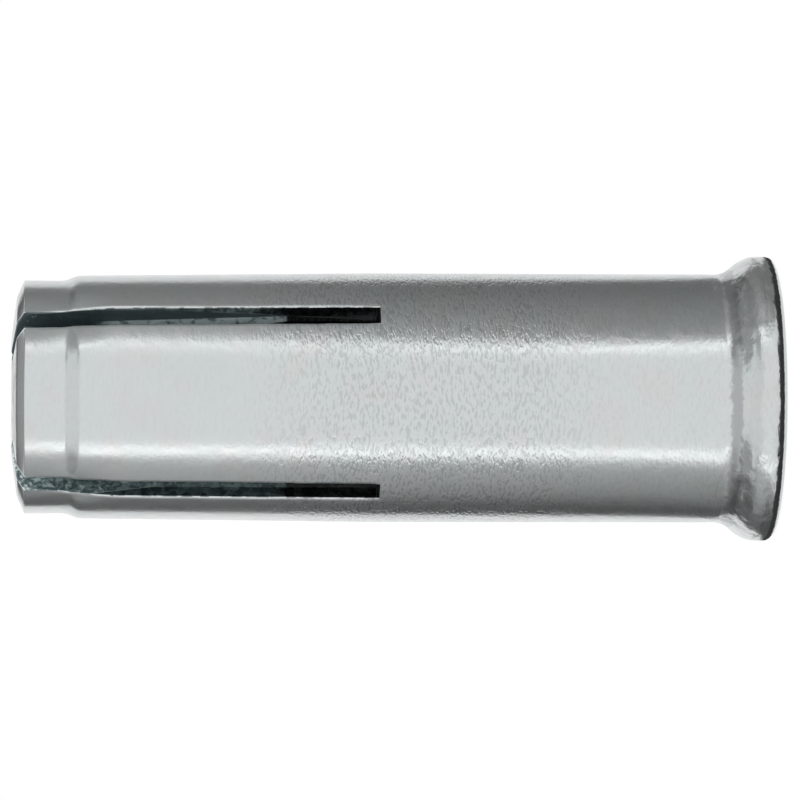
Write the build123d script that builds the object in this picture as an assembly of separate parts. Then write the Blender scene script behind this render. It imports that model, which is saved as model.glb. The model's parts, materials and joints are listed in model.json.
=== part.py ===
from build123d import *
import os
from math import radians, sin, tan

# Drop-in anchor for an M8 bolt in a 10 mm hole: a cold-formed steel sleeve, threaded at its flared rim
# and slotted at its crimped end, with a tapered expander plug held loose in the cavity between them.
# Millimetres. The origin is the centre of the rim face and +Z runs to the slotted end.

# Sleeve, outside
length = 30.0
body_diameter = 9.8
rim_diameter = 11.3
rim_height = 1.1            # rim face to where the flare turns into the rim band, before its fillet
flare_angle = 40.0          # slope of the flare, from the axis
rim_edge_radius = 0.4
crown_radius = 0.5          # flare to rim band
flare_radius = 1.1          # body to flare

# Sleeve, crimped and slotted end
lean_diameter = 9.54        # the quarters lean in to this diameter before the nose
nose_diameter = 9.14
nose_length = 2.12          # length of the crimped nose, measured from the end
nose_step_length = 0.45     # ramp from the leaning quarters down to the nose
nose_step_radius = 0.5
end_inner_angle = 6.5       # the end faces of the quarters are crowned: nearly flat at the bore,
end_outer_angle = 21.0      # steeper towards the outside,
end_crown_share = 0.7       # and they turn at this share of their width
end_edge_radius = 0.1
slot_count = 4
slot_length = 14.3
slot_width = 0.8
slot_tip_width = 0.68       # the crimp closes the slots a little at the end
first_slot_angle = 45.0

# Sleeve, inside
thread_minor_diameter = 6.65
thread_length = 13.2
mouth_diameter = 8.4        # lead-in at the rim face
mouth_angle = 45.0
cavity_diameter = 8.1       # relief behind the thread, as wide as the thread's root
cavity_length = 6.1
cavity_corner_chamfer = 0.25
end_bore_diameter = 4.2     # narrow end of the inside taper
end_bore_edge_radius = 0.15
end_land = 0.25             # flat ring left round the end bore

# Expander plug
plug_clearance = 0.15       # plug to cavity wall, at the radius
plug_seat_gap = 0.02        # plug to the shoulder that it rests on
plug_body_length = 3.0
plug_cone_length = 4.5
plug_edge_chamfer = cavity_corner_chamfer
plug_nose_radius = 0.3
plug_stop_gap = 0.4         # left before the plug's cone meets the inside taper

# Heights that follow from the sizes above
rim_radius = rim_diameter / 2
body_radius = body_diameter / 2
nose_radius = nose_diameter / 2
cavity_radius = cavity_diameter / 2
end_bore_radius = end_bore_diameter / 2
flare_step = abs(rim_radius - body_radius)
flare_top = rim_height + flare_step / tan(radians(flare_angle))
flare_slant = flare_step / sin(radians(flare_angle))
flare_fillets = (crown_radius + flare_radius) * tan(radians(flare_angle / 2))
flare_fillet_share = min(1, 0.9 * flare_slant / flare_fillets)      # both fillets fit on the flare's slant
slot_root = length - slot_length
nose_start = length - nose_length
end_land_radius = end_bore_radius + end_land
end_crown_radius = end_land_radius + end_crown_share * (nose_radius - end_land_radius)
end_crown = length - (end_crown_radius - end_land_radius) * tan(radians(end_inner_angle))
end_edge = end_crown - (nose_radius - end_crown_radius) * tan(radians(end_outer_angle))
mouth_depth = (mouth_diameter - thread_minor_diameter) / 2 / tan(radians(mouth_angle))
taper_start = thread_length + cavity_length
taper_slope = (cavity_radius - end_bore_radius) / (length - taper_start)
plug_radius = cavity_radius - plug_clearance
plug_base = thread_length + plug_seat_gap
plug_travel = taper_start + plug_clearance / taper_slope - plug_base - plug_body_length - plug_stop_gap


def revolved(corners):
    """A solid turned about Z from (radius, height, fillet radius) corners of its half section."""
    with BuildPart() as turned:
        with BuildSketch(Plane.XZ):
            with BuildLine():
                points = [(radius, height) for radius, height, fillet_radius in corners]
                fillets = [fillet_radius for radius, height, fillet_radius in corners]
                FilletPolyline(*points, radius=fillets, close=True)
            make_face()
        revolve(axis=Axis.Z)
    return turned.part


def sleeve_blank():
    """The sleeve before it is slotted: flared rim, straight body, crimped nose and the bore inside."""
    thread_radius = thread_minor_diameter / 2
    return revolved([
        (mouth_diameter / 2, 0, 0),
        (rim_radius, 0, rim_edge_radius),
        (rim_radius, rim_height, crown_radius * flare_fillet_share),
        (body_radius, flare_top, flare_radius * flare_fillet_share),
        (body_radius, slot_root, 0),
        (lean_diameter / 2, nose_start - nose_step_length, nose_step_radius),
        (nose_radius, nose_start, nose_step_radius),
        (nose_radius, end_edge, end_edge_radius),
        (end_crown_radius, end_crown, 0),
        (end_land_radius, length, 0),
        (end_bore_radius, length, end_bore_edge_radius),
        (cavity_radius, taper_start, 0),
        (cavity_radius, thread_length + cavity_corner_chamfer, 0),
        (cavity_radius - cavity_corner_chamfer, thread_length, 0),
        (thread_radius, thread_length, 0),
        (thread_radius, mouth_depth, 0),
    ])


def slot_blade():
    """A blade across the whole sleeve that cuts two opposite slots: square at the root, closing at the end."""
    root = slot_width / 2
    tip = slot_tip_width / 2
    with BuildPart() as blade:
        with BuildSketch(Plane.XZ):
            with BuildLine():
                Polyline(
                    (-root, slot_root), (root, slot_root), (root, nose_start), (tip, length),
                    (tip, length + slot_width), (-tip, length + slot_width), (-tip, length),
                    (-root, nose_start), close=True,
                )
            make_face()
        extrude(amount=rim_diameter, both=True)
    return blade.part


def anchor_sleeve():
    """The one-piece sleeve: the turned form with its slots cut through to the bore."""
    blade = slot_blade()
    sleeve = sleeve_blank()
    for index in range(slot_count // 2):
        angle = first_slot_angle + index * 360 / slot_count
        sleeve -= Rot(0, 0, angle) * blade
    return sleeve


def expander_plug():
    """The plug: a short cylinder on the shoulder behind the thread, with a cone that matches the taper."""
    shoulder = plug_base + plug_body_length
    nose = shoulder + plug_cone_length
    nose_end_radius = plug_radius - plug_cone_length * taper_slope
    return revolved([
        (0, plug_base, 0),
        (plug_radius - plug_edge_chamfer, plug_base, 0),
        (plug_radius, plug_base + plug_edge_chamfer, 0),
        (plug_radius, shoulder, 0),
        (nose_end_radius, nose, plug_nose_radius),
        (0, nose, 0),
    ])


pieces = {
    "anchor_sleeve": anchor_sleeve(),
    "expander_plug": expander_plug(),
}

os.makedirs("parts", exist_ok=True)
for name, piece in pieces.items():
    export_step(piece, f"parts/{name}.step")

print(f"wall {body_radius - cavity_radius:.2f} mm at the cavity, plug travel {plug_travel:.2f} mm")
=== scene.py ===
import bmesh
import bpy
import json
from math import acos, atan2, cos, hypot, pi, radians, sin, tan
from mathutils import Matrix, Vector


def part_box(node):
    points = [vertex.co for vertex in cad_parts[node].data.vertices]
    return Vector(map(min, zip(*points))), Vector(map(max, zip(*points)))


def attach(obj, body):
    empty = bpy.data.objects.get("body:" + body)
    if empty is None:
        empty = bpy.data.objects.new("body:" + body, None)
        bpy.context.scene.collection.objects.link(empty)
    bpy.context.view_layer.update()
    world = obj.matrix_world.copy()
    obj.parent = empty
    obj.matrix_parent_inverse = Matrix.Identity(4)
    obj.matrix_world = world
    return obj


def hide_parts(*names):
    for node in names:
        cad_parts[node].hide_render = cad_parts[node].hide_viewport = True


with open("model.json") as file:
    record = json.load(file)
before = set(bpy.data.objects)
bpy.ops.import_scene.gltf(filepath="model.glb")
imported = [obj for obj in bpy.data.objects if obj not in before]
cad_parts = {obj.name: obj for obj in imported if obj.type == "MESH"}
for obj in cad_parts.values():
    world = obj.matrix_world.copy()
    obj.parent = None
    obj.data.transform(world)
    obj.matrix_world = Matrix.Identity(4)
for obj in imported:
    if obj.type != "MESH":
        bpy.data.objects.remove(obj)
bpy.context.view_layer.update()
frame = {"record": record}

# Drop-in anchor, standing on its rim with the slotted end up. Metres, in the CAD's frame.
mm = 0.001
mounts = {mount["name"]: mount for mount in frame["record"]["mounts"]}

# Sleeve, outside
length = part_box("anchor_sleeve")[1].z
rim_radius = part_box("anchor_sleeve")[1].x
body_radius = mounts["body"]["dims"]["r_mm"] * mm
rim_height = 1.1 * mm
flare_angle = radians(40)
rim_edge_radius = 0.4 * mm
crown_radius = 1.3 * mm
flare_radius = 1.1 * mm
flare_top = rim_height + (rim_radius - body_radius) / tan(flare_angle)

# Sleeve, crimped and slotted end
lean_radius = 4.77 * mm
nose_radius = 4.57 * mm
nose_start = length - 2.12 * mm
nose_step_length = 0.45 * mm
nose_step_radius = 0.9 * mm
end_inner_angle = radians(7.5)      # the end faces are crowned: nearly flat at the bore, steeper outside
end_outer_angle = radians(24)
end_crown_share = 0.7
end_crown_fillet = 0.8 * mm
end_edge_radius = 0.06 * mm
end_bore_radius = 2.1 * mm
end_bore_edge_radius = 0.15 * mm
end_land_radius = 2.35 * mm
end_crown_radius = end_land_radius + end_crown_share * (nose_radius - end_land_radius)
end_crown = length - (end_crown_radius - end_land_radius) * tan(end_inner_angle)
end_edge = end_crown - (nose_radius - end_crown_radius) * tan(end_outer_angle)
slot_root = length - 14.3 * mm
slot_width = 0.8 * mm
slot_tip_width = 0.62 * mm
slot_closing = length - 3.4 * mm     # the crimp closes the slots from here to the end
slot_angles = [radians(45), radians(135)]
slot_lip = 0.04 * mm        # chamfer along the slots
lip_inside = 4.35 * mm      # lips are chamfered outside this radius
lean_radius_at_slots = 4.4 * mm     # the quarters' edges are drawn towards this radius
lean_rows = [(26.0, 0), (27.43, 0.3), (27.9, 0), (29.3, 0.4), (30.0, 0.4)]   # by these shares at heights in mm

# Sleeve, inside
thread_minor_radius = mounts["thread"]["dims"]["r_mm"] * mm
thread_major_radius = 4.0 * mm
thread_pitch = 1.25 * mm
thread_length = 13.2 * mm
mouth_radius = 4.2 * mm
cavity_radius = 4.05 * mm
cavity_corner = 0.25 * mm
taper_start = thread_length + 6.1 * mm
core_radius = 2.6 * mm      # narrower than the thread, which the tap opens
tap_turns = 12
tap_bottom = -1.4 * mm

# Plug
plug_low, plug_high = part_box("expander_plug")
plug_radius = plug_high.x
plug_cone_length = 4.5 * mm
plug_edge_chamfer = 0.25 * mm
plug_nose_radius = 0.3 * mm
plug_lit_height = 19.35 * mm     # the plug's tip is painted lighter above this, as painted light from the slots
taper_slope = (cavity_radius - end_bore_radius) / (length - taper_start)

# Mesh fineness
steps_round = 256
fine_steps = 96             # thread, plug and studio sheets
ring_spacing = 0.4 * mm
collar_spacing = 0.12 * mm
collar_top = 2.6 * mm       # the hammered flare and rim lie below this
arc_step = radians(9)
weld = 0.0005 * mm
cut_reach = 0.0001 * mm


def outline(corners, spacing):
    """Points along straight runs and fillets, from (radius, height, fillet radius) corners."""
    points = []
    count = len(corners)
    for index in range(count):
        r, z, fillet = corners[index]
        here = Vector((r, z))
        if fillet == 0 or index in (0, count - 1):
            points.append(here)
            continue
        before = (Vector(corners[index - 1][:2]) - here).normalized()
        after = (Vector(corners[index + 1][:2]) - here).normalized()
        corner = acos(max(-1, min(1, before.dot(after))))
        reach = fillet / tan(corner / 2)
        centre = here + (before + after).normalized() * fillet / sin(corner / 2)
        first = here + before * reach - centre
        last = here + after * reach - centre
        turn = (pi - corner) * (1 if first.x * last.y > first.y * last.x else -1)
        cuts = max(2, round(abs(turn) / arc_step))
        for cut in range(cuts + 1):
            angle = turn * cut / cuts
            points.append(centre + Matrix.Rotation(angle, 2) @ first)
    return divided(points, spacing)


def divided(points, spacing):
    """The same line with its long runs cut into even lengths."""
    line = [points[0]]
    for here, there in zip(points, points[1:]):
        fine = here.x > body_radius - cut_reach and min(here.y, there.y) < collar_top
        cuts = max(1, round((there - here).length / (collar_spacing if fine else spacing)))
        line += [here.lerp(there, cut / cuts) for cut in range(1, cuts + 1)]
    return line


def begin(name):
    """Adds a tiny plane and merges it to one point at the origin, in edit mode."""
    bpy.ops.object.select_all(action="DESELECT")
    bpy.ops.mesh.primitive_plane_add(size=mm)
    piece = bpy.context.object
    piece.name = name
    piece.data.name = name
    bpy.ops.object.mode_set(mode="EDIT")
    bpy.ops.mesh.select_mode(type="VERT")
    bpy.ops.mesh.select_all(action="SELECT")
    bpy.ops.mesh.merge(type="CENTER")
    return piece


def spun(name, line, angle=2 * pi, steps=steps_round):
    """Extrudes one point along a line of (radius, height) points and spins the line round Z."""
    piece = begin(name)
    bpy.ops.transform.translate(value=(line[0].x, 0, line[0].y))
    for here, there in zip(line, line[1:]):
        step = (there.x - here.x, 0, there.y - here.y)
        bpy.ops.mesh.extrude_region_move(TRANSFORM_OT_translate={"value": step})
    bpy.ops.mesh.select_all(action="SELECT")
    bpy.ops.mesh.spin(steps=steps, angle=angle, center=(0, 0, 0), axis=(0, 0, 1))
    bpy.ops.mesh.select_all(action="SELECT")
    bpy.ops.mesh.remove_doubles(threshold=weld)
    bpy.ops.mesh.normals_make_consistent(inside=False)
    return piece


def select(piece, kind, test):
    """In edit mode, selects only the vertices, edges or faces that pass the test."""
    bpy.ops.mesh.select_all(action="DESELECT")
    bpy.ops.mesh.select_mode(type=kind)
    mesh = bmesh.from_edit_mesh(piece.data)
    items = {"VERT": mesh.verts, "EDGE": mesh.edges, "FACE": mesh.faces}[kind]
    for item in items:
        if test(item):
            item.select_set(True)
    mesh.select_flush_mode()
    bmesh.update_edit_mesh(piece.data)


def done(piece, smooth_angle=radians(30)):
    """Leaves edit mode and shades the piece smooth, with its sharp edges kept."""
    bpy.ops.object.mode_set(mode="OBJECT")
    bpy.ops.object.select_all(action="DESELECT")
    piece.select_set(True)
    bpy.context.view_layer.objects.active = piece
    bpy.ops.object.shade_smooth_by_angle(angle=smooth_angle)


def apply_boolean(piece, tool):
    """Cuts the tool out of the piece and deletes the tool."""
    bpy.ops.object.select_all(action="DESELECT")
    piece.select_set(True)
    bpy.context.view_layer.objects.active = piece
    cut = piece.modifiers.new("cut", "BOOLEAN")
    cut.operation = "DIFFERENCE"
    cut.solver = "EXACT"
    cut.object = tool
    bpy.ops.object.modifier_apply(modifier=cut.name)
    bpy.data.objects.remove(tool)


def sleeve_blank():
    """The turned form of the sleeve, with a bore too narrow for the thread."""
    core_mouth = mouth_radius - core_radius
    corners = [
        (core_radius, core_mouth, 0),
        (mouth_radius, 0, 0),
        (rim_radius, 0, rim_edge_radius),
        (rim_radius, rim_height, crown_radius),
        (body_radius, flare_top, flare_radius),
        (body_radius, slot_root, 0),
        (lean_radius, nose_start - nose_step_length, nose_step_radius),
        (nose_radius, nose_start, nose_step_radius),
        (nose_radius, end_edge, end_edge_radius),
        (end_crown_radius, end_crown, end_crown_fillet),
        (end_land_radius, length, 0),
        (end_bore_radius, length, end_bore_edge_radius),
        (cavity_radius, taper_start, 0),
        (cavity_radius, thread_length + cavity_corner, 0),
        (cavity_radius - cavity_corner, thread_length, 0),
        (core_radius, thread_length, 0),
        (core_radius, core_mouth, 0),
    ]
    return spun("sleeve", outline(corners, ring_spacing))


def thread_tap():
    """A rod with the bolt's thread on it, which cuts the thread in the bore."""
    rise = thread_pitch
    flat = rise / 8
    root_flat = rise / 4
    flank = (rise - flat - root_flat) / 2
    piece = begin("tap")
    bpy.ops.transform.translate(value=(thread_minor_radius, 0, tap_bottom))
    depth = thread_major_radius - thread_minor_radius
    for step in [(0, root_flat), (depth, flank), (0, flat), (-depth, flank)]:
        bpy.ops.mesh.extrude_region_move(TRANSFORM_OT_translate={"value": (step[0], 0, step[1])})
    bpy.ops.object.mode_set(mode="OBJECT")
    screw = piece.modifiers.new("screw", "SCREW")
    screw.axis = "Z"
    screw.screw_offset = rise
    screw.iterations = tap_turns
    screw.steps = fine_steps
    screw.render_steps = fine_steps
    screw.use_merge_vertices = True
    screw.merge_threshold = weld
    screw.use_normal_calculate = True
    bpy.ops.object.modifier_apply(modifier=screw.name)
    bpy.ops.object.mode_set(mode="EDIT")
    bpy.ops.mesh.select_all(action="SELECT")
    bpy.ops.mesh.remove_doubles(threshold=weld)
    select(piece, "EDGE", lambda edge: edge.is_boundary)
    bpy.ops.mesh.edge_face_add()
    bpy.ops.mesh.select_all(action="SELECT")
    bpy.ops.mesh.normals_make_consistent(inside=False)
    bpy.ops.object.mode_set(mode="OBJECT")
    return piece


def ring_at(piece, height):
    """Cuts an edge ring round the piece at a height."""
    bpy.ops.mesh.select_all(action="SELECT")
    bpy.ops.mesh.bisect(plane_co=(0, 0, height), plane_no=(0, 0, 1), threshold=cut_reach)


def cut_slots(piece):
    """Cuts each pair of slots between two planes and opens them; close_slots closes their walls and roots."""
    ring_at(piece, slot_root)
    ring_at(piece, slot_closing)
    closing = atan2((slot_width - slot_tip_width) / 2, length - slot_closing)
    for angle in slot_angles:
        across = Vector((-sin(angle), cos(angle), 0))
        for side in (1, -1):
            for margin in (slot_lip, 0):
                wall = across * side * (slot_width / 2 + margin)
                select(piece, "FACE", lambda face: slot_root < face.calc_center_median().z < slot_closing)
                bpy.ops.mesh.bisect(plane_co=wall, plane_no=across, threshold=cut_reach)
                tilted = across * side * cos(closing) + Vector((0, 0, sin(closing)))
                corner = wall + Vector((0, 0, slot_closing))
                select(piece, "FACE", lambda face: face.calc_center_median().z > slot_closing)
                bpy.ops.mesh.bisect(plane_co=corner, plane_no=tilted, threshold=cut_reach)
        def in_slot(face):
            centre = face.calc_center_median()
            inset = max(0, centre.z - slot_closing) * tan(closing)
            return centre.z > slot_root and abs(centre.dot(across)) < slot_width / 2 - inset
        select(piece, "FACE", in_slot)
        bpy.ops.mesh.delete(type="FACE")


def close_slots(piece):
    """Fills the walls and the root of every slot from the open edges that the cut left."""
    near = 0.002 * mm
    for angle in slot_angles:
        across = Vector((-sin(angle), cos(angle), 0))
        along = Vector((cos(angle), sin(angle), 0))
        for end in (1, -1):
            for side in (1, -1):
                def on_wall(edge):
                    if not edge.is_boundary:
                        return False
                    for vert in edge.verts:
                        inset = max(0, vert.co.z - slot_closing) / (length - slot_closing)
                        half = (slot_width - inset * (slot_width - slot_tip_width)) / 2
                        if vert.co.dot(along) * end < 0 or abs(vert.co.dot(across) * side - half) > near:
                            return False
                    return True
                select(piece, "EDGE", on_wall)
                bpy.ops.mesh.edge_face_add()
    select(piece, "EDGE", lambda edge: edge.is_boundary)
    bpy.ops.mesh.edge_face_add()


def from_slot(place):
    """Distance of a place from the middle plane of its nearest slot."""
    return min(abs(place.y * cos(angle) - place.x * sin(angle)) for angle in slot_angles)


def half_slot(height):
    """Half of a slot's width at a height."""
    closed = max(0, height - slot_closing) / (length - slot_closing)
    return (slot_width - closed * (slot_width - slot_tip_width)) / 2


def chamfer_lips(piece):
    """Draws the slots' outer edges in along the sides, and down along the end faces."""
    near = 0.003 * mm

    def on_lip(place):
        return place.z > slot_root - near and abs(from_slot(place) - half_slot(place.z)) < near

    select(piece, "VERT", lambda vert: vert.co.z < end_edge and hypot(*vert.co.xy) > lip_inside and on_lip(vert.co))
    drawn_in = 1 - slot_lip / body_radius
    bpy.ops.transform.resize(value=(drawn_in, drawn_in, 1), center_override=(0, 0, 0))
    select(piece, "VERT", lambda vert: vert.co.z > end_edge - near and on_lip(vert.co))
    bpy.ops.transform.translate(value=(0, 0, -slot_lip))


def uneven(piece, name, size, depth, weight):
    """Sinks the surface by a seeded cloud pattern, weighted by place."""
    group = piece.vertex_groups.new(name=name)
    for vert in piece.data.vertices:
        share = weight(vert.co)
        if share > 0:
            group.add([vert.index], share, "REPLACE")
    cloud = bpy.data.textures.new(name, "CLOUDS")
    cloud.noise_scale = size
    cloud.noise_depth = 1
    dents = piece.modifiers.new(name, "DISPLACE")
    dents.texture = cloud
    dents.texture_coords = "LOCAL"
    dents.vertex_group = name
    dents.strength = depth
    dents.mid_level = 1
    bpy.ops.object.modifier_apply(modifier=dents.name)


def collar_share(place):
    """How much of the hammering a place gets: all on flare and rim, none on the rim face and body."""
    if hypot(place.x, place.y) < body_radius - 0.02 * mm:
        return 0
    from_face = min(1, max(0, place.z - 0.04 * mm) / (0.3 * mm))
    from_body = min(1, max(0, collar_top - place.z) / (0.8 * mm))
    return from_face * from_body


def rim_share(place):
    """1 on the rim band and its lower edge."""
    if hypot(place.x, place.y) < body_radius:
        return 0
    from_face = min(1, max(0, place.z - 0.02 * mm) / (0.15 * mm))
    return from_face * min(1, max(0, 1.2 * mm - place.z) / (0.4 * mm))


def lip_share(place):
    """1 on the chamfers of the slots, for their burrs."""
    if hypot(place.x, place.y) < lip_inside or from_slot(place) > slot_width / 2 + 1.02 * slot_lip:
        return 0
    return 1 if slot_root + 0.2 * mm < place.z < end_edge - 0.2 * mm else 0


def lean_share(place):
    """How much the slots' edges lean in near the end: more before the nose's step and at the tip."""
    r = hypot(place.x, place.y)
    if r < lip_inside:
        return 0
    near_slot = min(1, max(0, (1.7 * mm - from_slot(place)) / (1.2 * mm)))
    for (low, first), (high, last) in zip(lean_rows, lean_rows[1:]):
        if low * mm <= place.z <= high * mm:
            return near_slot ** 2 * (first + (last - first) * (place.z / mm - low) / (high - low))
    return 0


def lean_in(piece):
    """Draws the quarters' edges along the slots towards the axis, by place."""
    group = piece.vertex_groups.new(name="leaning_edges")
    for vert in piece.data.vertices:
        share = lean_share(vert.co)
        if share > 0:
            group.add([vert.index], share, "REPLACE")
    lean = piece.modifiers.new("lean", "CAST")
    lean.cast_type = "CYLINDER"
    lean.use_z = False
    lean.use_radius_as_size = False
    lean.size = lean_radius_at_slots
    lean.factor = 1
    lean.vertex_group = group.name
    bpy.ops.object.modifier_apply(modifier=lean.name)


def sleeve():
    """The plated sleeve: turned blank, tapped bore, slots with chamfered and leaning lips, hammered collar."""
    piece = sleeve_blank()
    bpy.ops.object.mode_set(mode="OBJECT")
    apply_boolean(piece, thread_tap())
    bpy.ops.object.mode_set(mode="EDIT")
    cut_slots(piece)
    close_slots(piece)
    chamfer_lips(piece)
    bpy.ops.mesh.select_all(action="SELECT")
    bpy.ops.mesh.normals_make_consistent(inside=False)
    done(piece)
    uneven(piece, "hammered_collar", size=0.55 * mm, depth=0.05 * mm, weight=collar_share)
    uneven(piece, "dented_rim", size=0.3 * mm, depth=0.03 * mm, weight=rim_share)
    uneven(piece, "burred_lips", size=0.25 * mm, depth=0.04 * mm, weight=lip_share)
    lean_in(piece)
    return piece


def plug():
    """The turned plug: chamfered base, short cylinder and a cone that matches the sleeve's taper."""
    shoulder = plug_high.z - plug_cone_length
    nose_end = plug_radius - plug_cone_length * taper_slope
    corners = [
        (0, plug_low.z, 0),
        (plug_radius - plug_edge_chamfer, plug_low.z, 0),
        (plug_radius, plug_low.z + plug_edge_chamfer, 0),
        (plug_radius, shoulder, 0),
        (nose_end, plug_high.z, plug_nose_radius),
        (0, plug_high.z, 0),
    ]
    piece = spun("plug", outline(corners, ring_spacing), steps=fine_steps)
    done(piece)
    return piece


# Pieces
sleeve_piece = sleeve()
plug_piece = plug()

# Surface: places along Z in pairs, from where a change starts to where it ends
marks_rise = (6.5 * mm, 10.5 * mm)      # tool marks grow between these heights
marks_fall = (16.5 * mm, 22.5 * mm)     # and fade between these
valley_rise = (1.66 * mm, 1.78 * mm)    # painted shade: a dark line where the flare meets the body
valley_fall = (2.05 * mm, 2.22 * mm)
hammered_fall = (1.9 * mm, 2.3 * mm)
glint_rise = (26.5 * mm, 29.0 * mm)     # the slot walls' painted glints thicken towards the end
painted_light_fall = (26.0 * mm, 27.0 * mm)     # the painted light strip low in the +X slots ends here
burr_fall = (26.6 * mm, 27.6 * mm)
painted_light_slope = -0.045        # outer radius of the painted light strip, by height
painted_light_reach = 5.215 * mm    # and at height 0
off = (1.0, 0.0)            # a ramp's values where a mask ends

# Surface: colours and depths
wall_colour = (0.38, 0.49, 0.5)
shaded_wall_colour = (0.08, 0.11, 0.12)
patch_colour = (0.12, 0.16, 0.18)
# painted light: glints and a pale strip on the slot walls
painted_light_colour = (0.9, 1.0, 1.0)
# painted shade: the bore is darkened as if little light gets in
bore_shade_colour = (0.3, 0.31, 0.31)
# painted light: the taper, nearer the open end, is lighter than the bore's painted shade
taper_light_colour = (0.5, 0.62, 0.63)
# painted shade: nearly black on the slot walls below the taper
window_shade_colour = (0.06, 0.065, 0.065)
burr_colour = (0.2, 0.22, 0.22)
# painted highlight: near white on the chamfers at the end faces
painted_highlight_colour = (0.95, 1.0, 1.0)
# painted shade in the crease between flare and body
valley_shade_colour = (0.33, 0.34, 0.35)
pit_colour = (0.33, 0.35, 0.35)
# painted light on the plug's tip
lit_tip_colour = (0.5, 0.58, 0.58)
grain_depth = 0.009 * mm
marks_depth = 0.006 * mm
hammered_depth = 0.014 * mm
sawn_depth = 0.015 * mm


class Tree:
    """Short ways to add nodes to a material or a node group."""

    def __init__(self, tree):
        self.nodes = tree.nodes
        self.links = tree.links

    def feed(self, socket, value):
        """Links a socket to another one, or sets it to a number or a colour of three numbers."""
        if isinstance(value, bpy.types.NodeSocket):
            self.links.new(value, socket)
        elif isinstance(value, tuple):
            socket.default_value = (*value, 1)
        else:
            socket.default_value = value

    def add(self, kind, values):
        """A node of a kind, with its named inputs fed."""
        node = self.nodes.new("ShaderNode" + kind)
        for name, value in values.items():
            self.feed(node.inputs[name], value)
        return node

    def output(self, shader):
        self.add("OutputMaterial", {"Surface": shader.outputs[0]})

    def math(self, operation, *values):
        """A Math node on sockets or numbers, and its output."""
        node = self.nodes.new("ShaderNodeMath")
        node.operation = operation
        for socket, value in zip(node.inputs, values):
            self.feed(socket, value)
        return node.outputs[0]

    def times(self, product, *factors):
        for factor in factors:
            product = self.math("MULTIPLY", product, factor)
        return product

    def most(self, first, second):
        return self.math("MAXIMUM", first, second)

    def ramp(self, value, start, end, low=0.0, high=1.0):
        """Smooth step of a value from one number to another."""
        node = self.nodes.new("ShaderNodeMapRange")
        node.interpolation_type = "SMOOTHSTEP"
        names = ("Value", "From Min", "From Max", "To Min", "To Max")
        for name, number in zip(names, (value, start, end, low, high)):
            self.feed(node.inputs[name], number)
        return node.outputs["Result"]

    def noise(self, vector, scale, detail=2.0, distortion=0.0):
        values = {"Vector": vector, "Scale": scale, "Detail": detail, "Distortion": distortion}
        return self.add("TexNoise", values).outputs["Fac"]

    def mix(self, factor, first, second):
        """A mix of two colours."""
        node = self.nodes.new("ShaderNodeMix")
        node.data_type = "RGBA"
        for name, value in (("Factor", factor), ("A", first), ("B", second)):
            self.feed(node.inputs[name], value)
        return node.outputs["Result"]

    def bump(self, height, depth, normal=None):
        """A Bump node that takes a height from 0 to 1 as this depth in metres."""
        node = self.add("Bump", {"Strength": 1, "Distance": depth, "Height": height})
        if normal:
            self.feed(node.inputs["Normal"], normal)
        return node.outputs["Normal"]

    def group(self, group, vector, **values):
        """A node group, with its own values; returns its outputs."""
        node = self.nodes.new("ShaderNodeGroup")
        node.node_tree = group
        self.feed(node.inputs["Vector"], vector)
        for name, value in values.items():
            self.feed(node.inputs[name], value)
        return node.outputs

    def place(self):
        """The place in the object's coordinates, and its parts."""
        place = self.nodes.new("ShaderNodeTexCoord").outputs["Object"]
        return place, *self.add("SeparateXYZ", {"Vector": place}).outputs

    def from_axis(self, x, y):
        return self.math("SQRT", self.math("ADD", self.times(x, x), self.times(y, y)))

    def azimuth(self, x, y):
        """Angle round Z from the side that faces the camera, positive towards +X."""
        return self.math("ARCTAN2", x, self.times(y, -1))


def new_material(name):
    material = bpy.data.materials.new(name)
    material.use_nodes = True
    material.node_tree.nodes.clear()
    return material, Tree(material.node_tree)


def new_group(name, inputs, outputs):
    """A shader node group with named sockets, its tree, what it is given and what it results in."""
    group = bpy.data.node_groups.new(name, "ShaderNodeTree")
    for socket_name, kind, value in inputs:
        socket = group.interface.new_socket(name=socket_name, in_out="INPUT", socket_type=kind)
        if value is not None:
            socket.default_value = value
    for socket_name, kind in outputs:
        group.interface.new_socket(name=socket_name, in_out="OUTPUT", socket_type=kind)
    given = group.nodes.new("NodeGroupInput")
    result = group.nodes.new("NodeGroupOutput")
    return group, Tree(group), given.outputs, result.inputs


def tool_marks_group():
    """Short marks round the piece: noise that is stretched round the axis, sunk where it is strong."""
    group, tree, given, result = new_group(
        "tool_marks",
        [("Vector", "NodeSocketVector", None), ("Round", "NodeSocketFloat", 3000.0),
         ("Along", "NodeSocketFloat", 8000.0), ("Sparse", "NodeSocketFloat", 0.5)],
        [("Height", "NodeSocketFloat")],
    )
    stretch = tree.add("CombineXYZ", {"X": given["Round"], "Y": given["Round"], "Z": given["Along"]})
    place = tree.nodes.new("ShaderNodeVectorMath")
    place.operation = "MULTIPLY"
    tree.feed(place.inputs[0], given["Vector"])
    tree.feed(place.inputs[1], stretch.outputs[0])
    marks = tree.noise(place.outputs[0], 1.0, 1.0, 0.15)
    end = tree.math("ADD", given["Sparse"], 0.2)
    tree.feed(result["Height"], tree.ramp(marks, given["Sparse"], end, *off))
    return group


def plating_grain_group():
    """Fine grain and a slow swell of the plating, and a mask for its gloss."""
    group, tree, given, result = new_group(
        "plating_grain",
        [("Vector", "NodeSocketVector", None), ("Grain", "NodeSocketFloat", 0.2)],
        [("Height", "NodeSocketFloat"), ("Gloss", "NodeSocketFloat")],
    )
    fine = tree.noise(given["Vector"], 9000.0)
    swell = tree.noise(given["Vector"], 1500.0, 1.0, 0.4)
    tree.feed(result["Height"], tree.math("ADD", tree.times(fine, given["Grain"]), swell))
    tree.feed(result["Gloss"], tree.ramp(swell, 0.3, 0.7))
    return group


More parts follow.
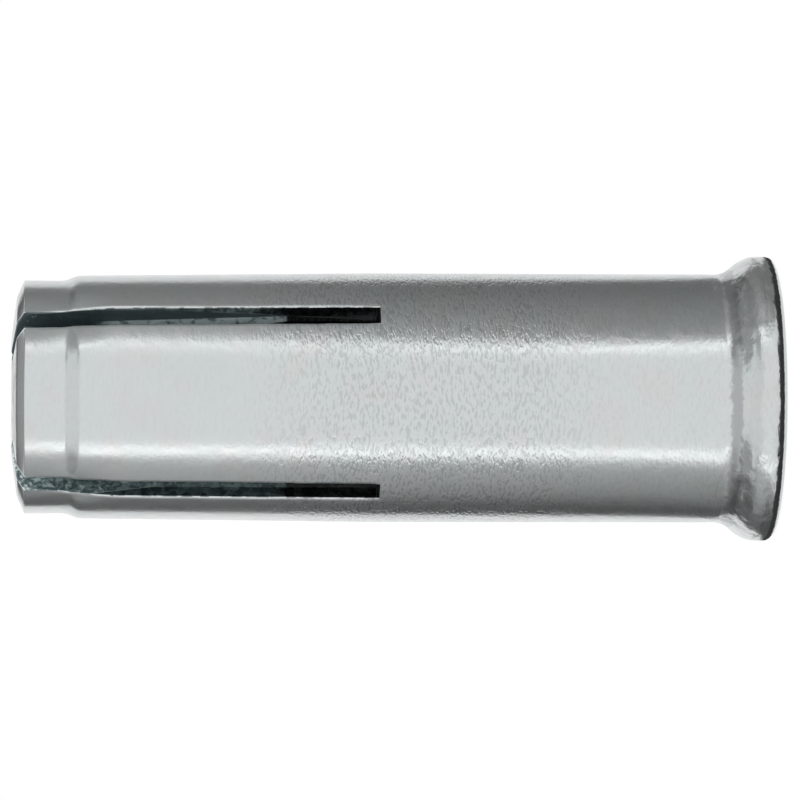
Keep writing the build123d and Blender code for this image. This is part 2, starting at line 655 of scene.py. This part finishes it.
def zinc_tint_group():
    """The plating's colour with faint cool and warm patches."""
    group, tree, given, result = new_group(
        "zinc_tint",
        [("Vector", "NodeSocketVector", None), ("Zinc", "NodeSocketColor", (0.61, 0.64, 0.645, 1)),
         ("Cool", "NodeSocketColor", (0.59, 0.64, 0.63, 1)), ("Warm", "NodeSocketColor", (0.62, 0.625, 0.625, 1))],
        [("Color", "NodeSocketColor")],
    )
    colour = given["Zinc"]
    for name, scale in (("Cool", 420.0), ("Warm", 610.0)):
        patches = tree.noise(given["Vector"], scale, 3.0, 0.5)
        colour = tree.mix(tree.ramp(patches, 0.45, 0.75), colour, given[name])
    tree.feed(result["Color"], colour)
    return group


tool_marks = tool_marks_group()
plating_grain = plating_grain_group()
zinc_tint = zinc_tint_group()


def zinc_plate():
    """Bright zinc on cold-formed steel: marked mid-body, mottled slot walls with painted shade and painted light, a
    dull bore darkened with painted shade, painted highlights at the end faces, painted shade in the flare's valley.
    """
    material, tree = new_material("zinc_plate")
    place, x, y, z = tree.place()
    radius = tree.from_axis(x, y)
    mottle = tree.noise(place, 2600.0, 3.0, 0.6)
    upper_side = tree.ramp(x, 0.0, mm)

    # Bore, darkened with painted shade, and its taper, painted lighter with painted light
    inside = tree.ramp(radius, lip_inside - 0.05 * mm, lip_inside, *off)
    # painted shade: this mask darkens the bore below the end
    bore = tree.times(inside, tree.ramp(z, end_edge - 0.3 * mm, end_edge, *off))
    # painted light: this mask makes the taper lighter, as if lit through the slots and the end bore
    taper = tree.times(bore, tree.ramp(z, taper_start - 0.02 * mm, taper_start + 0.02 * mm))

    # Slot walls, with painted shade for the dark window to the cavity, and the lips beside them
    away = tree.math("MINIMUM", tree.math("ABSOLUTE", tree.math("SUBTRACT", x, y)),
                     tree.math("ABSOLUTE", tree.math("ADD", x, y)))
    wall_edge = slot_width / 2 * 2 ** 0.5
    lip_edge = wall_edge + slot_lip * 2 ** 0.5
    above_root = tree.ramp(z, slot_root - 0.02 * mm, slot_root)
    wall = tree.ramp(away, wall_edge + 0.002 * mm, wall_edge + 0.006 * mm, *off)
    slot_wall = tree.times(wall, above_root)
    # painted shade: the slot walls below the taper are painted nearly black, as if in shadow
    window_shade = tree.times(slot_wall, tree.ramp(z, taper_start - 0.05 * mm, taper_start + 0.05 * mm, *off))
    lip = tree.ramp(away, lip_edge + 0.004 * mm, lip_edge + 0.012 * mm, *off)
    lip = tree.times(tree.math("SUBTRACT", lip, wall), above_root)
    burrs = tree.times(lip, tree.ramp(mottle, 0.42, 0.58, 0.1, 1.0), tree.ramp(z, *burr_fall, 0.95, 0.0))
    # painted highlight: the slot chamfers by the end faces are painted near white
    painted_highlight = tree.times(lip, tree.ramp(z, end_edge - 0.1 * mm, end_edge))

    # Dark patches and painted glints on the slot walls, and a strip of painted light low in the +X slots
    flecks = tree.noise(place, 4200.0, 3.0, 0.8)
    patches = tree.times(slot_wall, tree.ramp(flecks, 0.42, 0.54, 0.75, 0.0))
    glint_start = tree.math("ADD", tree.ramp(z, *glint_rise, 0.6, 0.52), tree.times(upper_side, 0.12))
    painted_glints = tree.ramp(tree.math("SUBTRACT", flecks, glint_start), 0.0, 0.12)
    past_light = tree.math("SUBTRACT", radius, tree.math("MULTIPLY_ADD", z, painted_light_slope, painted_light_reach))
    strip = tree.times(tree.ramp(past_light, -0.03 * mm, 0.03 * mm, *off), upper_side,
                       tree.ramp(mottle, 0.3, 0.5, 0.3, 1.0), tree.ramp(z, *painted_light_fall, *off))
    # painted light: the glints, which thicken towards the end, and the pale strip low in the +X slots
    painted_light = tree.times(slot_wall, tree.most(painted_glints, strip))

    # Painted shade in the valley of the flare, and the hammered collar
    rough_z = tree.math("MULTIPLY_ADD", tree.math("SUBTRACT", mottle, 0.5), 0.5 * mm, z)
    # painted shade: darkens the crease where the flare meets the body
    valley_shade = tree.times(tree.ramp(rough_z, *valley_rise), tree.ramp(rough_z, *valley_fall, *off),
                        tree.ramp(radius, 4.85 * mm, body_radius))
    on_collar = tree.times(tree.ramp(z, *hammered_fall, *off), tree.ramp(radius, 4.7 * mm, 4.8 * mm))
    hammered = tree.times(on_collar, tree.noise(place, 3200.0, 1.0, 0.2))

    # Tool marks and plating grain
    grain = tree.group(plating_grain, place, Grain=0.25)
    marks = tree.group(tool_marks, place, Round=3700.0, Along=10500.0, Sparse=0.46)
    marked = tree.times(tree.ramp(z, *marks_rise, 0.25, 1.0), tree.ramp(z, *marks_fall, *off))
    marked = tree.most(marked, 0.12)
    sunk = tree.times(marked, marks["Height"])
    pits = tree.math("SUBTRACT", marked, sunk)

    colour = tree.group(zinc_tint, place)["Color"]
    for mask, paint in (
        (tree.times(slot_wall, tree.ramp(mottle, 0.3, 0.6, 0.5, 1.0)), wall_colour),
        (bore, bore_shade_colour),
        (taper, taper_light_colour),
        (tree.times(slot_wall, upper_side, 0.85), shaded_wall_colour),
        (patches, patch_colour),
        (painted_light, painted_light_colour),
        (window_shade, window_shade_colour),
        (burrs, burr_colour),
        (painted_highlight, painted_highlight_colour),
        (tree.times(valley_shade, 0.6), valley_shade_colour),
        (tree.times(pits, 0.38), pit_colour),
    ):
        colour = tree.mix(mask, colour, paint)

    normal = tree.bump(grain["Height"], grain_depth)
    normal = tree.bump(sunk, marks_depth, normal)
    normal = tree.bump(hammered, hammered_depth, normal)
    normal = tree.bump(tree.times(slot_wall, mottle), sawn_depth, normal)
    gloss = tree.ramp(grain["Gloss"], 0.0, 1.0, 0.22, 0.17)
    roughness = tree.math("ADD", gloss, tree.times(tree.most(bore, slot_wall), 0.3))

    # Chalky places are partly diffuse
    chalky = tree.most(tree.times(slot_wall, 0.25), tree.times(taper, 0.3))
    chalky = tree.most(chalky, tree.times(tree.most(painted_light, painted_highlight), 0.75))
    chalky = tree.math("SUBTRACT", chalky, tree.times(window_shade, chalky))
    metallic = tree.math("SUBTRACT", 1.0, chalky)
    tree.output(tree.add("BsdfPrincipled", {
        "Metallic": metallic, "Base Color": colour, "Roughness": roughness, "Normal": normal,
    }))
    return material


def turned_steel():
    """The plug's steel: blackened, with turning marks round it and a tip painted lighter and less metallic, as
    painted light from the slots.
    """
    material, tree = new_material("turned_steel")
    place, x, y, z = tree.place()
    tint = tree.group(zinc_tint, place, Zinc=(0.16, 0.17, 0.18), Cool=(0.13, 0.16, 0.17), Warm=(0.18, 0.17, 0.16))
    grain = tree.group(plating_grain, place, Grain=0.4)
    marks = tree.group(tool_marks, place, Round=500.0, Along=16000.0, Sparse=0.42)
    # painted light: the tip above the slots' dark window is painted lighter
    lit_tip = tree.ramp(z, plug_lit_height - 0.03 * mm, plug_lit_height + 0.03 * mm)
    normal = tree.bump(grain["Height"], 0.01 * mm)
    tree.output(tree.add("BsdfPrincipled", {
        "Metallic": tree.ramp(lit_tip, 0.0, 1.0, 1.0, 0.5),
        "Base Color": tree.mix(lit_tip, tint["Color"], lit_tip_colour),
        "Roughness": tree.ramp(grain["Gloss"], 0.0, 1.0, 0.38, 0.28),
        "Normal": tree.bump(marks["Height"], marks_depth, normal),
    }))
    return material


def dress(piece, material):
    piece.data.materials.clear()
    piece.data.materials.append(material)


dress(sleeve_piece, zinc_plate())
dress(plug_piece, turned_steel())

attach(sleeve_piece, "sleeve")
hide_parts("anchor_sleeve")
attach(plug_piece, "plug")
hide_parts("expander_plug")

# Studio. The metal mirrors a light tent that only reflections see: a wide diffuser in front with a brighter
# strip along each side of it, grey flags at the sides and a white screen behind. Its tones go by azimuth,
# in degrees round Z from the side that faces the camera, positive towards +X, and by tier of elevation.
tent_radius = 400 * mm
tent_floor = 0.02 * mm
tent_foot = rim_radius - 0.1 * mm
shadow_ring_radius = 6.4 * mm     # painted contact shadow: a dark ring on the floor round the rim, seen only in reflections
shadow_ring_tone = 0.05
near_floor_radius = 11 * mm
tent_gain = 2.0
belt_tones = [
    (-180, 1.0), (-136, 1.0), (-132, 0.09), (-112, 0.13), (-92, 0.32), (-76, 0.41), (-60, 0.52), (-53, 0.8),
    (-51, 1.5), (-44, 1.65), (-42.5, 1.0), (41, 1.0), (44.5, 1.0), (46, 1.5), (51, 1.6), (54.5, 0.6), (61, 0.36),
    (74, 0.33), (90, 0.28), (112, 0.22), (126, 0.2), (139, 0.2), (146, 0.9), (180, 1.0),
]
lower_side_tones = [
    (-180, 1.0), (-136, 1.0), (-132, 0.13), (-112, 0.18), (-92, 0.4), (-76, 0.5), (-60, 0.6), (-53, 0.85),
    (-51, 1.6), (-44, 1.75), (-42.5, 1.0), (41, 1.0),
]
upper_side_tones = [(90, 0.4), (112, 0.3), (126, 0.26), (139, 0.26), (146, 0.9), (180, 1.0)]
upper_belt_strip = [(49, 1.0), (51, 1.35), (56, 1.5), (59, 0.74), (66, 0.54)]
nose_belt_strip = [(53, 1.0), (55, 1.4), (60, 1.55), (63, 0.78), (69, 0.55)]
near_floor_tones = [
    (-180, 1.0), (-118, 0.9), (-110, 0.14), (-95, 0.1), (-74, 0.11), (-61, 0.23), (-50, 0.48), (-44, 0.9),
    (-38, 1.0), (41, 1.0), (46, 0.7), (50, 0.42), (58, 0.3), (80, 0.24), (106, 0.22), (118, 0.9), (180, 1.0),
]
low_brow_tones = [
    (-180, 0.07), (-145, 0.08), (-122, 0.12), (-100, 0.15), (-75, 0.4), (-45, 0.75), (-30, 0.88), (32, 0.88),
    (42, 0.5), (110, 0.26), (145, 0.1), (180, 0.07),
]
high_brow_tones = [
    (-180, 0.4), (-158, 0.4), (-147, 1.2), (-128, 1.2), (-116, 0.15), (-96, 0.18), (-82, 0.4), (-72, 0.95),
    (-45, 0.85), (-30, 0.88), (32, 0.88), (62, 0.92), (69, 0.55), (76, 0.33), (122, 0.28), (134, 1.3), (152, 1.3),
    (163, 0.4), (180, 0.4),
]
lid_tones = [
    (-180, 0.5), (-100, 0.3), (-88, 0.4), (-76, 1.0), (52, 1.05), (63, 0.27), (100, 0.3), (180, 0.5),
]
tiers = [       # name, tones, and the elevations between which the tier comes in
    ("upper_belt", lower_side_tones + upper_belt_strip + upper_side_tones, -4, -0.5),
    ("nose_belt", lower_side_tones + nose_belt_strip + upper_side_tones, 1.7, 2.2),
    ("low_brow", low_brow_tones, 18, 23),
    ("high_brow", high_brow_tones, 26, 48),
    ("lid", lid_tones, 53, 59),
]


def tent_material():
    """Emission that changes with azimuth and elevation round the middle of the anchor."""
    material, tree = new_material("light_tent")
    place, x, y, z = tree.place()
    share = tree.math("MULTIPLY_ADD", tree.azimuth(x, y), 1 / (2 * pi), 0.5)
    radius = tree.from_axis(x, y)
    height = tree.math("SUBTRACT", z, length / 2)
    elevation = tree.times(tree.math("ARCTAN2", height, radius), 180 / pi)

    def toned(name, tones):
        ramp = tree.nodes.new("ShaderNodeValToRGB")
        ramp.label = name
        tree.feed(ramp.inputs[0], share)
        stops = ramp.color_ramp.elements
        while len(stops) < len(tones):
            stops.new(1)
        for stop, (degrees_round, level) in zip(stops, tones):
            stop.position = degrees_round / 360 + 0.5
            stop.color = (level / tent_gain, level / tent_gain, level / tent_gain, 1)
        return ramp.outputs[0]

    near = tree.ramp(radius, near_floor_radius, 1.7 * near_floor_radius, *off)
    tone = tree.mix(near, toned("belt", belt_tones), toned("near_floor", near_floor_tones))
    for name, tones, start, end in tiers:
        tone = tree.mix(tree.ramp(elevation, start, end), tone, toned(name, tones))
    # painted shadow: the tent turns dark close round the rim, standing in for the floor's contact shadow in
    # reflections
    in_shadow_ring = tree.ramp(radius, shadow_ring_radius, shadow_ring_radius + 0.3 * mm, *off)
    tone = tree.mix(in_shadow_ring, tone, (shadow_ring_tone / tent_gain,) * 3)
    tree.output(tree.add("Emission", {"Strength": tent_gain, "Color": tone}))
    return material


def reflected_only(sheet, material):
    """Stages a sheet of light that nothing but reflections sees."""
    done(sheet)
    dress(sheet, material)
    sheet.visible_camera = False
    sheet.visible_diffuse = False
    sheet.visible_transmission = False
    sheet.visible_shadow = False


def light_tent():
    """A round sheet on the floor that turns up into a dome over the anchor."""
    line = [Vector((radius, tent_floor)) for radius in (tent_foot, shadow_ring_radius, tent_radius / 4)]
    arc_cuts = 24
    for cut in range(arc_cuts + 1):
        angle = cut * pi / 2 / arc_cuts
        line.append(Vector((tent_radius * cos(angle), tent_floor + tent_radius * sin(angle))))
    reflected_only(spun("light_tent", line, steps=fine_steps), tent_material())


light_tent()

# A white card lights the step of the nose
card_height = 44 * mm
card_radii = (17 * mm, 38 * mm)
card_spread = radians(200)
card_turn = radians(-10)      # turns the card to face the camera's side
card_fade = (radians(46), radians(60))


def nose_card():
    """A small white sheet above and in front of the slotted end."""
    card = spun("nose_card", [Vector((radius, card_height)) for radius in card_radii], card_spread, 40)
    bpy.ops.mesh.select_all(action="SELECT")
    bpy.ops.transform.rotate(value=card_turn, orient_axis="Z", center_override=(0, 0, 0))
    material, tree = new_material("nose_card")
    place, x, y, z = tree.place()
    aside = tree.math("ABSOLUTE", tree.azimuth(x, y))
    tree.output(tree.add("Emission", {"Strength": tree.ramp(aside, *card_fade, 0.9, 0.42)}))
    reflected_only(card, material)


nose_card()

# Floor
floor_white = 0.92
floor_grey = (0.12, 0.12, 0.12)
bpy.ops.object.select_all(action="DESELECT")
bpy.ops.mesh.primitive_plane_add(size=20)
floor = bpy.context.object
floor.name = "floor"


def floor_material():
    """White to the camera, to metal and to glass, with the object's shadow on it."""
    material, tree = new_material("white_floor")
    path = tree.nodes.new("ShaderNodeLightPath").outputs
    seen = tree.most(tree.most(path["Is Camera Ray"], path["Is Glossy Ray"]), path["Is Transmission Ray"])
    glow = tree.add("Emission", {"Strength": tree.times(seen, floor_white)})
    matt = tree.add("BsdfDiffuse", {"Color": floor_grey})
    both = tree.nodes.new("ShaderNodeAddShader")
    tree.feed(both.inputs[0], glow.outputs[0])
    tree.feed(both.inputs[1], matt.outputs[0])
    tree.output(both)
    return material


dress(floor, floor_material())

# World
world = bpy.data.worlds.new("white_room")
world.use_nodes = True
world.node_tree.nodes["Background"].inputs["Color"].default_value = (1, 1, 1, 1)
world.node_tree.nodes["Background"].inputs["Strength"].default_value = 1
bpy.context.scene.world = world
bpy.context.scene.view_settings.view_transform = "Standard"

# Camera, lying on its side: +X is up in the picture
camera_azimuth = radians(3.6)
camera_elevation = radians(3.4)
camera_distance = 244.4 * mm
camera_field = 2 * atan2(400, 6200)     # half the picture's width and the focal length, in pixels
camera_roll = radians(0.35)
aim = Vector((-0.09 * mm, 0, length / 2 - 0.28 * mm))
back = Vector((
    sin(camera_azimuth) * cos(camera_elevation),
    -cos(camera_azimuth) * cos(camera_elevation),
    sin(camera_elevation),
))
camera_data = bpy.data.cameras.new("camera")
camera_data.angle = camera_field
camera_data.clip_start = 10 * mm
camera = bpy.data.objects.new("camera", camera_data)
bpy.context.scene.collection.objects.link(camera)
up = Vector((1, 0, 0))
up = (up - up.dot(back) * back).normalized()
right = up.cross(back)
turn = Matrix((right, up, back)).transposed() @ Matrix.Rotation(camera_roll, 3, "Z")
camera.matrix_world = Matrix.Translation(aim + back * camera_distance) @ turn.to_4x4()
bpy.context.scene.camera = camera
